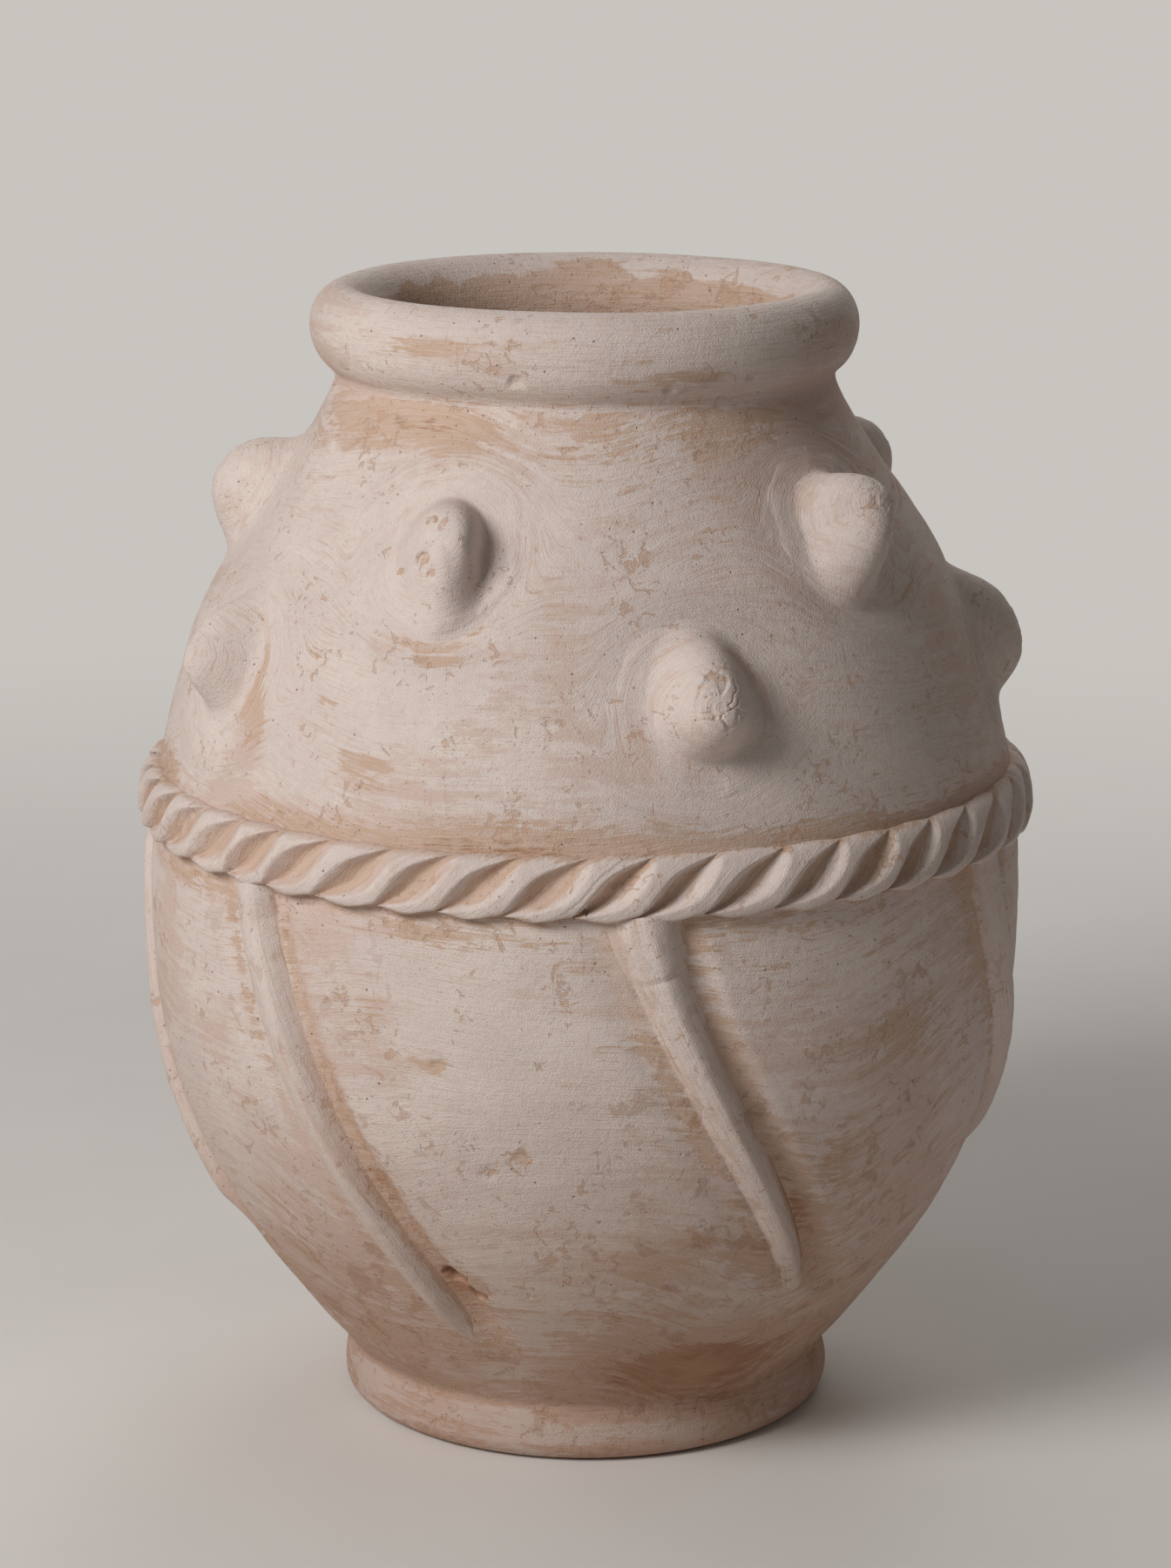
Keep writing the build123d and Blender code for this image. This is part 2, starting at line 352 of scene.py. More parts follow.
waist = (waist_radius, waist_height)
toe = (foot_high.x, toe_height)
belly = (belly_radius, belly_height)
neck = (neck_radius, neck_height + neck_rise)
under_toe, over_toe = ((toe[0], handle) for handle in toe_handles)
under_crease = (waist[0] + crease_handle[0], crease_handle[1])
foot_line = np.concatenate([
    bend(*corners_of((sole_radius, 0), (sole_radius + sole_handle, 0), under_toe, toe)),
    bend(*corners_of(toe, over_toe, under_crease, waist)),
])
spring = (waist[0] + spring_handle[0], waist[1] + spring_handle[1])
closing = (neck[0] + neck_handle[0], neck[1] - neck_handle[1])
wall_line = np.concatenate([
    bend(*corners_of(waist, spring, (belly_radius, belly_height - swell_below), belly)),
    bend(*corners_of(belly, (belly_radius, belly_height + swell_above), closing, neck)),
])
rim_turn = np.radians(np.linspace(*rim_turns, 300))
rim_out = rim_half_width * np.cos(rim_turn)
rim_up = rim_half_height * np.sin(rim_turn)
rim_line = np.stack([
    rim_radius - rim_inset[0] + rim_out * np.cos(rim_lean) + rim_up * np.sin(rim_lean),
    rim_crest - rim_inset[1] - rim_out * np.sin(rim_lean) + rim_up * np.cos(rim_lean),
], axis=-1)
lip_top = rim_line[-1]
over_lip = (lip_edge[0], lip_edge[1] + lip_rise)
lip_line = bend(*corners_of(lip_top, lip_top + lip_handle, over_lip, lip_edge))
rough_line = np.concatenate([foot_line, wall_line, rim_line, lip_line])
rough_along = np.append(0, np.cumsum(np.hypot(*np.diff(rough_line, axis=0).T)))
outline_along = np.arange(0, rough_along[-1], outline_step)
even_line = np.stack([np.interp(outline_along, rough_along, axis) for axis in rough_line.T], axis=-1)
neck_along = rough_along[len(foot_line) + len(wall_line) - 1]
near_neck = bell(outline_along - neck_along, neck_reach)[:, None]
outline = soften(even_line, crease_soft) * (1 - near_neck) + soften(even_line, neck_soft) * near_neck
outline_way = np.gradient(outline, axis=0)
outline_way /= np.hypot(*outline_way.T)[:, None]
waist_along = rough_along[len(foot_line) - 1]


def along_at(height):
    """Length along the outline at which the outer wall reaches a height."""
    upper = outline_along <= neck_along
    return np.interp(height, outline[upper, 1], outline_along[upper])


def radius_at(along):
    """Radius of the jar's outline at a length along it."""
    return np.interp(along, outline_along, outline[:, 0])


def hand_marks(spots):
    """How far the hands left the clay off its true round, in metres: a slow wobble, broad finger dents, and flat
    lines left by the wet hand going round. It fades out at the sole, which the bench pressed flat."""
    wobble = 0.0010 * (clay_noise(spots, 0.15, 2) - 0.4)
    dents = 0.00050 * clay_noise(spots, 0.042, 3)
    passes = 0.00022 * clay_noise(spots, (0.05, 0.05, 0.009), 4)
    lines = 0.00008 * clay_noise(spots, (0.03, 0.03, 0.0028), 5)
    return (wobble + dents + passes + lines) * ramp(spots[..., 2], 0.0, 0.008)


def place(along, azimuth, proud=0.0):
    """Points on the jar's skin: the outline's point at a length along it, turned to an azimuth in degrees from the
    front, and moved straight out by the hand marks and by how proud it stands."""
    along, azimuth, proud = np.broadcast_arrays(along, azimuth, proud)
    turn = np.radians(azimuth)
    around = np.stack([np.sin(turn), -np.cos(turn), np.ones_like(turn)], axis=-1)
    radius = radius_at(along)
    height = np.interp(along, outline_along, outline[:, 1])
    out = np.interp(along, outline_along, outline_way[:, 1])
    up = -np.interp(along, outline_along, outline_way[:, 0])
    base = around * np.stack([radius, radius, height], axis=-1)
    return base + around * np.stack([out, out, up], axis=-1) * (proud + hand_marks(base))[..., None]


def facing(grid):
    """Outward direction at each point of a grid that closes round its columns: the cross product of the steps to
    the neighbours along the columns and along the rows."""
    over = np.roll(grid, -1, axis=1) - np.roll(grid, 1, axis=1)
    normal = np.cross(over, np.gradient(grid, axis=0))
    return normal / np.linalg.norm(normal, axis=-1, keepdims=True)


def aside(azimuth, middle):
    """Degrees from one azimuth to another, the short way round."""
    return (azimuth - middle + 180) % 360 - 180


def patches(spots, azimuth, height):
    """Sum of soft-edged patches, each (azimuth, height, half width in degrees, half height, strength): bell curves
    over the ellipse that its half width and half height give."""
    total = np.zeros(np.broadcast(azimuth, height).shape)
    for middle, level, wide, tall, strength in spots:
        over = aside(azimuth, middle) / wide
        total = total + strength * np.exp(-(over**2) - ((height - level) / tall) ** 2)
    return total


def limewash(name, fresh, cool, thin, dusty):
    """Finish of limewash brushed over fired clay, in the tones of fresh, cool, thin and dusty wash. Clouds, streaks
    and hairs along the strokes, and flakes add up with the piece's own bare marks to how worn it is. With wear, the
    wash first thins to pink, then breaks up along the strokes to a tan film, and then to the raw clay. Where it is
    left, it has tan strands, chips, specks, runs and slanting scratches. Low on the jar it is smudged, and painted
    shade darkens it towards the bottom."""
    material, spot = start_finish(name)
    bare = spot.node("ShaderNodeAttribute", {"attribute_name": "bare"}, output="Fac")
    stroke = spot.node("ShaderNodeAttribute", {"attribute_name": "stroke"}, output="Fac")
    rise = spot.node("ShaderNodeSeparateXYZ", {}, {"Vector": spot}, output="Z")

    def scaled(*scales):
        """The point's place, stretched along each axis."""
        return spot.node("ShaderNodeVectorMath", {"operation": "MULTIPLY"}, {0: spot, 1: scales})

    def shifted(vector, **shift):
        """A vector moved along the axes that are named."""
        across = spot.node("ShaderNodeCombineXYZ", {}, shift)
        return spot.node("ShaderNodeVectorMath", {"operation": "ADD"}, {0: vector, 1: across})

    def brushed(round_scale, across_scale, detail, twist=0.0):
        """Noise drawn out along the strokes."""
        lengthwise = scaled(round_scale, round_scale, round_scale * 0.5)
        return shifted(lengthwise, Z=stroke * across_scale).noise(1.0, detail, 0.58, twist)

    def upright(round_scale, up_scale, lean):
        """Noise drawn out up the wall, on a slant."""
        slant = rise * (-lean * round_scale)
        return shifted(scaled(round_scale, round_scale, up_scale), X=slant, Y=slant).noise(1.0, 2.0, 0.5, 0.2)

    def dots(scale, least):
        """Round specks in some of the cells of points that lie scattered."""
        cells = {"Vector": spot, "Scale": scale}
        reach = spot.node("ShaderNodeTexVoronoi", {}, cells, output="Distance")
        chance = spot.node("ShaderNodeTexVoronoi", {}, cells, output="Color") * 1.0
        return (1 - reach.within(0.05, 0.16)) * chance.within(least, least + 0.10)

    streaks = brushed(16.0, 190.0, 5.0, 0.35)
    hairs = brushed(60.0, 1400.0, 2.0)
    flakes = brushed(130.0, 330.0, 4.0, 0.6)
    clouds = spot.noise(15.0, 4.0, 0.6, 0.3)
    tone = spot.noise(21.0, 3.0)
    grit = spot.noise(270.0, 4.0, 0.6)
    dust = spot.noise(1500.0, 2.0)
    lines = hairs.within(0.38, 0.62)
    worn = clouds * 0.31 + streaks * 0.29 + flakes * 0.26 + hairs * 0.14 + bare
    clay, grain = clay_body(spot)
    coat = tone.within(0.36, 0.64).tint(shade(*fresh), shade(*cool))
    pink = spot.noise(12.0, 4.0, 0.6, 0.4) * 0.5 + streaks * 0.3 + flakes * 0.2 + bare * 0.8
    coat = ((grit * 0.55 + dust * 0.45).within(0.42, 0.62) * 0.36).tint(coat, shade(*thin))
    colour = (pink.within(0.49, 0.575) * 0.85).tint(coat, shade(*thin))
    strands = hairs.within(0.53, 0.66) * clouds.within(0.38, 0.54)
    colour = (strands * 0.42).tint(colour, shade(*dusty))
    film = worn.within(0.560, 0.592)
    colour = (film * (lines * 0.52 + 0.40)).tint(colour, shade(*dusty))
    raw = worn.within(0.68, 0.80)
    colour = (raw * (lines * 0.24 + 0.72)).tint(colour, clay)
    chips = spot.noise(180.0, 4.0, 0.62, 0.9) * 0.62 + spot.noise(36.0, 2.0) * 0.38 + bare * 0.25
    chips = chips.within(0.600, 0.617) * (1 - raw)
    colour = (chips * 0.65).tint(colour, shade(*pale_clay))
    runs = upright(330.0, 45.0, 0.0).within(0.66, 0.70) * tone.within(0.50, 0.58)
    scratches = upright(700.0, 70.0, 0.9).within(0.66, 0.71) * spot.noise(19.0, 2.0).within(0.48, 0.58)
    colour = (runs * 0.35 + scratches * 0.40).tint(colour, shade(*pale_clay))
    smudges = spot.noise(75.0, 4.0, 0.6, 0.5) * 0.7 + spot.noise(14.0, 2.0) * 0.3
    smudges = smudges.within(0.575, 0.615) * (1 - rise.within(0.16, 0.34))
    colour = (smudges * 0.32).tint(colour, shade(*raw_clay))
    specks = dots(240.0, 0.66) * spot.noise(11.0, 2.0).within(0.42, 0.54)
    specks = specks + dots(520.0, 0.60) * spot.noise(24.0, 2.0).within(0.50, 0.60)
    colour = (specks * 0.68).tint(colour, shade(*dark_clay))
    # painted shade: below 0.25 m the colour is darkened towards a shaded brown, most of all below 0.03 m
    colour = (0.44 - rise.within(0.03, 0.25) * 0.44).tint(colour, shade(*low_painted_shade))
    height = hairs * 0.30 + dust * 0.40 + grit * 0.36 + streaks * 0.24 + flakes * 0.12 + grain * 0.06
    height = height - film * 0.10 - chips * 0.20 - runs * 0.08 - scratches * 0.12 - specks * 0.45
    end_finish(spot, colour, grit * 0.15 - chips * 0.05 + 0.78, height)
    return material


def raise_ring(name, skin, hidden, bare, stroke, hidden_bare):
    """Close a skin with hidden rows of points behind it, and lay a mesh over both. Only the skin keeps the facing
    that runs on from one ring of clay to the next, so that no joint shows."""
    grid = np.concatenate([skin["grid"], hidden])
    normals = np.concatenate([skin["facing"], np.zeros_like(hidden)])
    marks = np.concatenate([bare, np.full(hidden.shape[:2], hidden_bare)])
    strokes = np.concatenate([stroke, hidden[..., 2]])
    return lay_skin(name, grid, marks, strokes, normals)


azimuths = np.linspace(0, 360, steps_round, endpoint=False)


def skin_rows(first, last, spacing, proud=None):
    """Rows of the jar's skin from one length along the outline to another, with their facing. One more row at each
    end, which is then dropped, carries the facing on across the joints."""
    count = int(round((last - first) / spacing))
    step = (last - first) / count
    along = first + step * np.arange(-1, count + 2)
    lift = 0.0 if proud is None else proud(along[:, None], azimuths)
    grid = place(along[:, None], azimuths, lift)
    return {"along": along[1:-1, None], "grid": grid[1:-1], "facing": facing(grid)[1:-1]}


foot_skin = skin_rows(foot_start, waist_along, foot_spacing)
foot_inside = [             # radius and height of the hidden corners, from the crease round to the sole
    (0.104, waist_height),
    (0.0985, waist_height),
    (seat_radius, 0.0262),
    (seat_radius, slab_low.z),
    (0.0915, slab_low.z),
    (ledge_radius, slab_low.z),
    (ledge_radius, 0.0035),
    (ledge_radius, 0.0004),
    (0.094, 0.0),
    (sole_radius - 0.001, 0.0),
]
foot_hidden = ring(*np.transpose(foot_inside))
foot_height = foot_skin["grid"][..., 2]
foot_worn = [               # patches of wear, and of thicker wash where the strength is below 0
    (9, 0.0070, 12, 0.0035, 0.10),
    (30, 0.021, 16, 0.005, 0.14),
    (-55, 0.015, 9, 0.006, 0.06),
    (140, 0.012, 14, 0.006, 0.13),
    (215, 0.018, 11, 0.006, 0.12),
    (10, 0.0150, 15, 0.0036, -0.17),
    (-62, 0.018, 9, 0.005, -0.14),
    (100, 0.016, 16, 0.004, -0.14),
    (250, 0.012, 18, 0.005, -0.14),
]
foot_bare = foot_wear + patches(foot_worn, azimuths, foot_height) + sole_wear * ramp(foot_height, 0.005, 0.0)
# partly painted shade: the crease under the wall's overhang gets more bare clay, darker than the wash
foot_bare += crease_wear_and_shade * ramp(foot_height, 0.021, 0.027)
foot = raise_ring("washed_foot_coil", foot_skin, foot_hidden, foot_bare, foot_height, hidden_wear)
foot_finish = limewash("thin_pink_wash", *foot_tones)
fit(foot, "foot_ring", foot_finish)

# Wall courses
# Four rings of clay, each coiled up on the one below, scraped thin and beaten together so that no joint shows. The
# wash is brushed on level, but swirls round each knob, and it is worn off in bands and patches.
wall_thickness = 0.014
wall_tones = [(229, 214, 205), (222, 207, 199), (214, 189, 176), (204, 173, 149)]
row_spacing = 0.0017        # of the rows of points outside, and inside
inner_spacing = 0.007
seams = [waist_height] + [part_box(node)[0].z for node in ("belly_wall", "shoulder_wall", "neck_wall")]
rim_along = along_at(neck_height)
seam_alongs = [waist_along] + [along_at(seam) for seam in seams[1:]] + [rim_along]
upper_knobs = [             # height and azimuth of each knob's seat
    (0.4205, -25.0), (0.4232, 49.5), (0.4225, 123.0), (0.4240, 196.0), (0.4237, 269.0),
]
lower_knobs = [(0.3605, 16.0), (0.3585, 86.5), (0.3600, 159.0), (0.3570, 231.5), (0.3630, 299.6)]
knob_seats = [(along_at(height), azimuth) for height, azimuth in upper_knobs + lower_knobs]
rope_height = 0.290
rope_half = 0.0125
rib_head = rope_height - rope_half
rib_azimuths = (7.3, 61.5, 112.0, 162.0, 212.5, 263.0, 313.5)
rib_tails = (0.097, 0.120, 0.092, 0.104, 0.088, 0.098, 0.076)
rib_drifts = (26.5, 25.5, 26.0, 25.0, 25.5, 24.5, 24.0)  # degrees round the jar from each rib's head to its tail
rib_bend = 1.38             # above 1, a rib starts upright and leans more further down
rib_half = (0.0116, 0.0064)  # half width of a rib at its head and at its tail
rib_slant = 0.92            # width square across a rib, as a part of its width measured level
dish_reach = 0.036          # from a knob's middle to the dish round it, and the dish's half width and depth
dish_half = 0.012
dish_depth = 0.0006
swirl_reach = 0.045         # from a knob's middle to where the strokes round it meet the level ones
fallen_stones = [           # azimuth, height, radius and depth of holes where stones fell out of the clay
    (-20.3, 0.1020, 0.0058, 0.0055),
    (-17.0, 0.0945, 0.0044, 0.0045),
    (-18.4, 0.2105, 0.0034, 0.0007),
    (-8.0, 0.1715, 0.0046, 0.0007),
    (-12.5, 0.1625, 0.0040, 0.0006),
    (152.0, 0.2150, 0.0042, 0.0010),
    (243.0, 0.2040, 0.0036, 0.0009),
]
stone_wear = 140            # bare clay for each metre of a hole's depth, and the most in any hole
most_stone_wear = 0.42
stroke_slants = [           # patches where the strokes slant
    (-48, 0.12, 20, 0.06, 0.7),
    (50, 0.14, 20, 0.08, -0.7),
]
wall_worn = [               # patches of wear
    (-42, 0.468, 26, 0.012, 0.09),
    (42, 0.471, 11, 0.006, 0.08),
    (-25, 0.385, 8, 0.007, 0.13),
    (-21, 0.379, 4, 0.005, 0.10),
    (-51, 0.343, 3.5, 0.016, 0.17),
    (-52.5, 0.364, 1.8, 0.014, 0.17),
    (8, 0.352, 2.5, 0.006, 0.11),
    (-31, 0.334, 5, 0.006, 0.09),
    (7, 0.340, 5, 0.008, 0.06),
    (-19, 0.211, 4, 0.004, 0.12),
    (-9, 0.168, 5, 0.007, 0.10),
    (-26, 0.233, 3, 0.006, 0.09),
    (42, 0.215, 9, 0.022, 0.06),
    (37, 0.162, 8, 0.018, 0.08),
    (22, 0.052, 24, 0.018, 0.32),
    (-25, 0.060, 14, 0.010, 0.08),
    (12, 0.118, 7, 0.012, 0.09),
    (24, 0.110, 5, 0.010, 0.11),
    (-19, 0.100, 4, 0.009, 0.16),
    (68, 0.390, 26, 0.070, 0.030),
    (62, 0.200, 26, 0.080, 0.045),
    (115, 0.350, 8, 0.012, 0.11),
    (150, 0.215, 10, 0.010, 0.12),
    (190, 0.460, 26, 0.009, 0.12),
    (205, 0.330, 6, 0.016, 0.12),
    (245, 0.205, 8, 0.012, 0.10),
    (170, 0.060, 30, 0.018, 0.16),
    (290, 0.068, 16, 0.012, 0.10),
]


def rib_way(height, number):
    """Azimuth of a rib's middle line at a height, and the share of its way down."""
    share = np.clip((rib_head - height) / (rib_head - rib_tails[number]), 0, 1.1)
    return rib_azimuths[number] + rib_drifts[number] * share**rib_bend, share


def half_rib(share):
    """Half width of a rib at a share of its way down."""
    return rib_half[0] + (rib_half[1] - rib_half[0]) * share**1.4


def beside_rib(along, azimuth, number):
    """Metres from a rib's edge, square across it, to the right of it and to the left, and how much of the rib is
    there: 1 along its length, fading out past its tail. The share of its way down comes last."""
    height = np.interp(along, outline_along, outline[:, 1])
    middle, share = rib_way(height, number)
    across = np.radians(aside(azimuth, middle)) * radius_at(along) * rib_slant
    half = half_rib(share)
    there = ramp(share, 1.10, 0.93) * ramp(height, rib_head + 0.006, rib_head - 0.004)
    return across - half, -across - half, there, share


def from_knob(along, azimuth, seat):
    """Metres from the middle of a knob's seat, measured over the wall."""
    return np.hypot(along - seat[0], np.radians(aside(azimuth, seat[1])) * radius_at(along))


def hole(along, azimuth, spot):
    """How much of a hole, (azimuth, length along the outline, radius), is at a point: 1 inside it, 0 outside, with
    an edge that noise makes ragged."""
    turn, level, radius = spot
    over = np.radians(aside(azimuth, turn)) * radius_at(along)
    up = along - level
    ragged = clay_noise(np.stack(np.broadcast_arrays(over, up, turn), axis=-1), (0.0032, 0.0026, 1.0), 24)
    return ramp(np.hypot(over, up) * (1 + 0.45 * ragged), radius, radius * 0.5)


def noise_round(azimuth, degrees, seed, level=0.0):
    """Smooth noise from -1 to 1 that closes on itself round the jar: noise over a circle, in cells of so many
    degrees, and over a level counted in the same cells."""
    turn = np.radians(azimuth)
    spots = np.stack(np.broadcast_arrays(np.sin(turn), np.cos(turn), level * np.radians(degrees)), axis=-1)
    return clay_noise(spots, np.radians(degrees), seed)


def worked_wall(along, azimuth):
    """How far tools and fingers moved the wall: a shallow dish round each knob where it was smeared on, a finger's
    groove to the right of each rib, wider and deeper down the rib, with a low lip beyond it, a scraped flat to the
    rib's left, a nick along its left edge, and holes that stones left. All but the holes are bell curves."""
    moved = np.zeros(np.broadcast(along, azimuth).shape)
    for seat in knob_seats:
        reach = from_knob(along, azimuth, seat)
        moved -= dish_depth * bell(reach - dish_reach, dish_half)
    for number in range(len(rib_tails)):
        right, left, there, share = beside_rib(along, azimuth, number)
        groove_depth = 0.0028 + 0.0032 * share
        groove = groove_depth * bell(right - 0.0030 - 0.0030 * share, 0.0050 + 0.0036 * share)
        lip_height = 0.0003 if number == 0 else 0.0007
        lip = lip_height * bell(right - 0.0115 - 0.0070 * share, 0.0024)
        flat = 0.0009 * bell(left - 0.008, 0.007)
        nick = 0.0006 * bell(left + 0.0002, 0.0012)
        moved -= (groove - lip + flat + nick) * there
    for turn, level, radius, depth in fallen_stones:
        moved -= depth * hole(along, azimuth, (turn, along_at(level), radius))
    return moved


def wall_bare(along, azimuth, height):
    """Where the wash is worn off the wall: in patches, in bands over and under the rope and under the rim, low
    down over the foot, in the grooves beside the ribs and in the holes of stones. Close to a knob there is less."""
    uneven = noise_round(azimuth, 15.0, 6, height * 32)
    over_rope = ramp(height, 0.322 + 0.006 * uneven, 0.304) * ramp(height, 0.290, 0.296)
    under_rope = bell(height - 0.272, 0.008, 4)
    under_rim = bell(height - 0.468, 0.013)
    bare = patches(wall_worn, azimuth, height) - 0.015
    bare = bare + (0.15 + 0.06 * uneven) * over_rope
    bare += (0.09 + 0.08 * uneven) * under_rope
    bare += (0.07 + 0.05 * uneven) * under_rim
    bare += 0.10 * ramp(height, 0.050, 0.028) + 0.060 * ramp(height, 0.15, 0.06)
    for seat in knob_seats:
        bare -= 0.03 * ramp(from_knob(along, azimuth, seat), 0.046, 0.036)
    for number in range(len(rib_tails)):
        right, left, there, share = beside_rib(along, azimuth, number)
        groove = bell(right - 0.004 - 0.002 * share, 0.0054 + 0.0030 * share)
        rubbed = (0.10 + 0.15 * share) * groove + 0.09 * bell(left - 0.0045, 0.005)
        bare += rubbed * there * (1 + 0.5 * uneven)
    for turn, level, radius, depth in fallen_stones:
        wear = np.minimum(stone_wear * depth, most_stone_wear)
        bare += wear * hole(along, azimuth, (turn, along_at(level), radius * 1.2))
    return bare


def knob_stroke(seat):
    """What the measure across the strokes starts from in a knob's middle, so that it runs on to the wall's."""
    return np.interp(seat[0], outline_along, outline[:, 1]) - swirl_reach


def wall_strokes(along, azimuth, height):
    """Measure across the brush strokes: the height, tilted here and there by noise and in the patches where
    strokes slant, but the distance from a knob's middle close to that knob."""
    turn = np.radians(azimuth)
    spots = np.stack(np.broadcast_arrays(0.2 * np.sin(turn), 0.2 * np.cos(turn), height), axis=-1)
    strokes = height + 0.016 * clay_noise(spots, (0.11, 0.11, 0.08), 23)
    for slant in stroke_slants:
        strokes += patches([slant], azimuth, height) * np.radians(aside(azimuth, slant[0])) * radius_at(along)
    for seat in knob_seats:
        reach = from_knob(along, azimuth, seat)
        near = ramp(reach, 0.058, 0.032)
        strokes += near * (reach + knob_stroke(seat) - strokes)
    return strokes


wall_finish = limewash("brushed_limewash", *wall_tones)
courses = ["lower_wall", "belly_wall", "shoulder_wall", "neck_wall"]
inner_foot = (waist_radius - 0.0155, waist_height + 0.0002)
inner_neck = (neck_radius - 0.0134, neck_height - 0.0002)
inner_ridge = 0.0006        # height of the level ridges that fingers left inside
inner_wear = 0.22
for number, node in enumerate(courses):
    first, last = seam_alongs[number:number + 2]
    skin = skin_rows(first, last, row_spacing, worked_wall)
    height = skin["grid"][..., 2]
    inner_count = int((last - first) / inner_spacing)
    inner = place(np.linspace(last, first, inner_count)[:, None], azimuths, -wall_thickness)
    inner += inner_ridge * clay_noise(inner, (0.06, 0.06, 0.012), 7)[..., None] * (inner * (1, 1, 0) / 0.15)
    if node == "neck_wall":
        inner = np.concatenate([ring([inner_neck[0]], [inner_neck[1]]), inner[1:]])
    if node == "lower_wall":
        inner = np.concatenate([inner, ring([inner_foot[0]], [inner_foot[1]])])
    bare = wall_bare(skin["along"], azimuths, height)
    stroke = wall_strokes(skin["along"], azimuths, height)
    course = raise_ring(f"limewashed_{node}", skin, inner, bare, stroke, inner_wear)
    fit(course, node, wall_finish)

# Rim roll
# A thick coil laid on the neck and rolled outwards between wet fingers, then smeared down outside. Inside, the
# fingertips left a scalloped lower edge, where the wash ends in runs over bare clay.
rim_end = outline_along[-1] - outline_step
rim_spacing = 0.0012
scallops = 24               # finger presses round the inside, their depth, and how far up from the lip they reach
scallop_depth = 0.0034
scallop_reach = 0.020
rim_pits = [                # azimuth, length up from the neck, radius and depth of small holes outside
    (-14.0, 0.0200, 0.0042, 0.0011),
    (17.5, 0.0150, 0.0026, 0.0010),
    (36.0, 0.0190, 0.0024, 0.0009),
    (205.0, 0.0220, 0.0036, 0.0010),
]


def finger_presses(along, azimuth):
    """Scallops of the lip inside the mouth: half waves round the jar, some deep and some hardly there, which grow
    towards the lower edge. Outside there are a few pits."""
    wander = 70 * noise_round(azimuth, 27.0, 8)
    wave = np.sin(np.radians(azimuth * scallops / 2 + wander)) ** 2
    deep = 0.5 + 0.5 * noise_round(azimuth, 20.0, 25)
    moved = scallop_depth * (wave - 0.4) * deep * ramp(along, rim_end - scallop_reach, rim_end)
    for turn, level, radius, depth in rim_pits:
        moved = moved - depth * hole(along, azimuth, (turn, rim_along + level, radius))
    return moved


rim_skin = skin_rows(rim_along, rim_end, rim_spacing, finger_presses)
rim_sag = 0.8 * finger_presses(rim_skin["along"], azimuths)
rim_skin["grid"][..., 2] -= rim_sag
rim_foot = ring([0.0968, 0.102, 0.107], [0.4766, 0.477, 0.477])  # where the coil stands on the neck
rim_height = rim_skin["grid"][..., 2]
rim_crest_along = outline_along[np.argmax(outline[:, 1])]
past_crest = rim_skin["along"] - rim_crest_along
rim_worn = [                # patches of wear
    (-33, 0.503, 12, 0.005, 0.16),
    (-15, 0.496, 6, 0.003, 0.10),
    (20, 0.492, 12, 0.004, 0.09),
    (60, 0.500, 14, 0.005, 0.10),
    (130, 0.505, 12, 0.005, 0.12),
    (240, 0.497, 16, 0.006, 0.12),
]
rim_runs = 0.005 * noise_round(azimuths, 9.0, 9)
rim_reach = 0.013 + 0.006 * np.abs(np.sin(np.radians(azimuths)))
rim_bare = patches(rim_worn, azimuths, rim_height) * (past_crest < 0.004)
rim_bare = rim_bare + 0.18 * ramp(past_crest - rim_runs - rim_reach, -0.004, 0.004) - 0.02
rim_bare += 0.05 * bell(rim_height - 0.474, 0.008)
rim_stroke = np.broadcast_to(rim_skin["along"], rim_height.shape)
rim = raise_ring("limewashed_rim_coil", rim_skin, rim_foot, rim_bare, rim_stroke, hidden_wear)
fit(rim, "rim_roll", wall_finish)

# Rope moulding
# A coil laid in four lengths over the joint of belly and shoulder, and pressed at a slant with a thumb or a stick,
# so that it looks twisted. The wash stays on its ridges, while clay shows in the hollows and along its edges.
rope_along = along_at(rope_height)
rope_relief = 0.0090
rope_bed = 0.0004           # how deep the rope is pressed into the wall, its edges at most, and its hidden back
rope_edge_bed = 0.0006
rope_back_bed = 0.002
rope_lays = 44              # slanting ridges all round
rope_lengths = 4
front_points = 60           # points of the rope's section in front, and behind
back_points = 6
rope_steps = 1760           # sections all round
hollow_depth = 0.0070
hollow_middle = 0.42        # where a hollow is deepest, and how far it reaches to its left and right, as parts of
hollow_sides = (0.34, 0.46)  # the spacing of the ridges
loose_azimuth = -48         # where the hollows are widest, and how many degrees to each side
loose_half = 24
back_wear = 0.3             # on the hidden backs of rope, knobs and ribs


def lay_of_rope(azimuth, level):
    """Which lay a point of the rope is in, and how far across it from one ridge to the next, from 0 to 1. A ridge
    leaves the lower edge flat, climbs to the right and runs out flat along the upper edge."""
    sway = 0.10 * noise_round(azimuth, 12.0, 10)
    across = azimuth * rope_lays / 360 + sway - 0.40 * level - 0.26 * level**3
    lay = np.floor(across)
    return lay % rope_lays, across - lay


def pressed_rope(azimuth, angle):
    """Height of the rope over the wall, level up it from -1 to 1, and depth of the hollow there from 0 to 1. The
    section is a half round, fuller below. Each hollow is a leaf: widest half way up, pointed at both ends, and
    steeper on its left side."""
    level = np.where(angle < 0, np.sin(1.22 * angle), np.sin(angle))
    fullness = np.where(angle < 0, 0.55, 0.80)
    body = np.clip(np.cos(angle), 0, 1) ** fullness
    lay, across = lay_of_rope(azimuth, level)
    chance = clay_noise(np.stack(np.broadcast_arrays(lay, 0.5, 0.5), axis=-1), 1.0, 11)
    gap = np.clip(1 - np.abs(level / 1.03) ** 2.6, 0.02, 1)
    loose = bell(aside(azimuth, loose_azimuth), loose_half)
    half = np.where(across < hollow_middle, *hollow_sides) * (1 + 0.10 * chance + 0.16 * loose) * gap
    leaf = np.clip(1 - ((across - hollow_middle) / half) ** 2, 0, 1) ** 1.6 * gap**0.7
    height = body * (rope_relief - hollow_depth * (1 - 0.18 * chance) * leaf)
    return height, level, leaf


